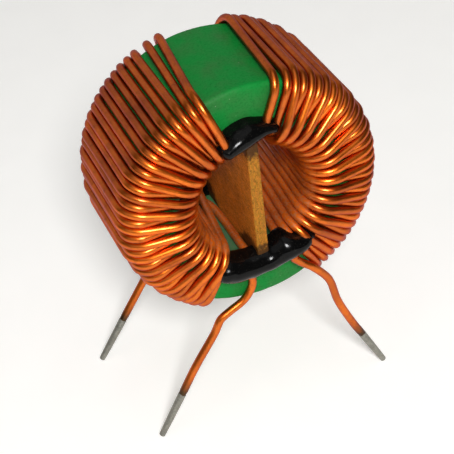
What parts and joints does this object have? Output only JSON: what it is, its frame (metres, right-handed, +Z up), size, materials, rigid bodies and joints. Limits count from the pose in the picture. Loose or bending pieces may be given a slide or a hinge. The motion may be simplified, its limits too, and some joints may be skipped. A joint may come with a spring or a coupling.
{
  "type": "toroidal inductor",
  "caption": "Common-mode choke: coated ferrite toroid with a copper winding on each half, a divider board in its hole and tinned wire leads.",
  "frame": {"origin": "on the surface that the part stands on, straight below the toroid's centre", "axes": "+Z up, +Y along the toroid's axis from the front face to the back face, +X to the right seen from the front"},
  "size_m": [0.0305, 0.0207, 0.0398],
  "materials": {
    "ferrite": "matte",
    "green_epoxy": "satin",
    "enamelled_copper": "gloss",
    "fibre_board": "matte",
    "black_glue": "gloss",
    "tinned_wire": "satin"
  },
  "bodies": {
    "root": {"ferrite_core": "ferrite", "core_coating": "green_epoxy", "winding_left": "enamelled_copper", "winding_right": "enamelled_copper", "divider_board": "fibre_board", "glue_top_front": "black_glue", "glue_bottom_front": "black_glue", "glue_top_back": "black_glue", "glue_bottom_back": "black_glue", "tin_front_left": "tinned_wire", "tin_front_right": "tinned_wire", "tin_back_left": "tinned_wire", "tin_back_right": "tinned_wire"}
  },
  "joints": []
}
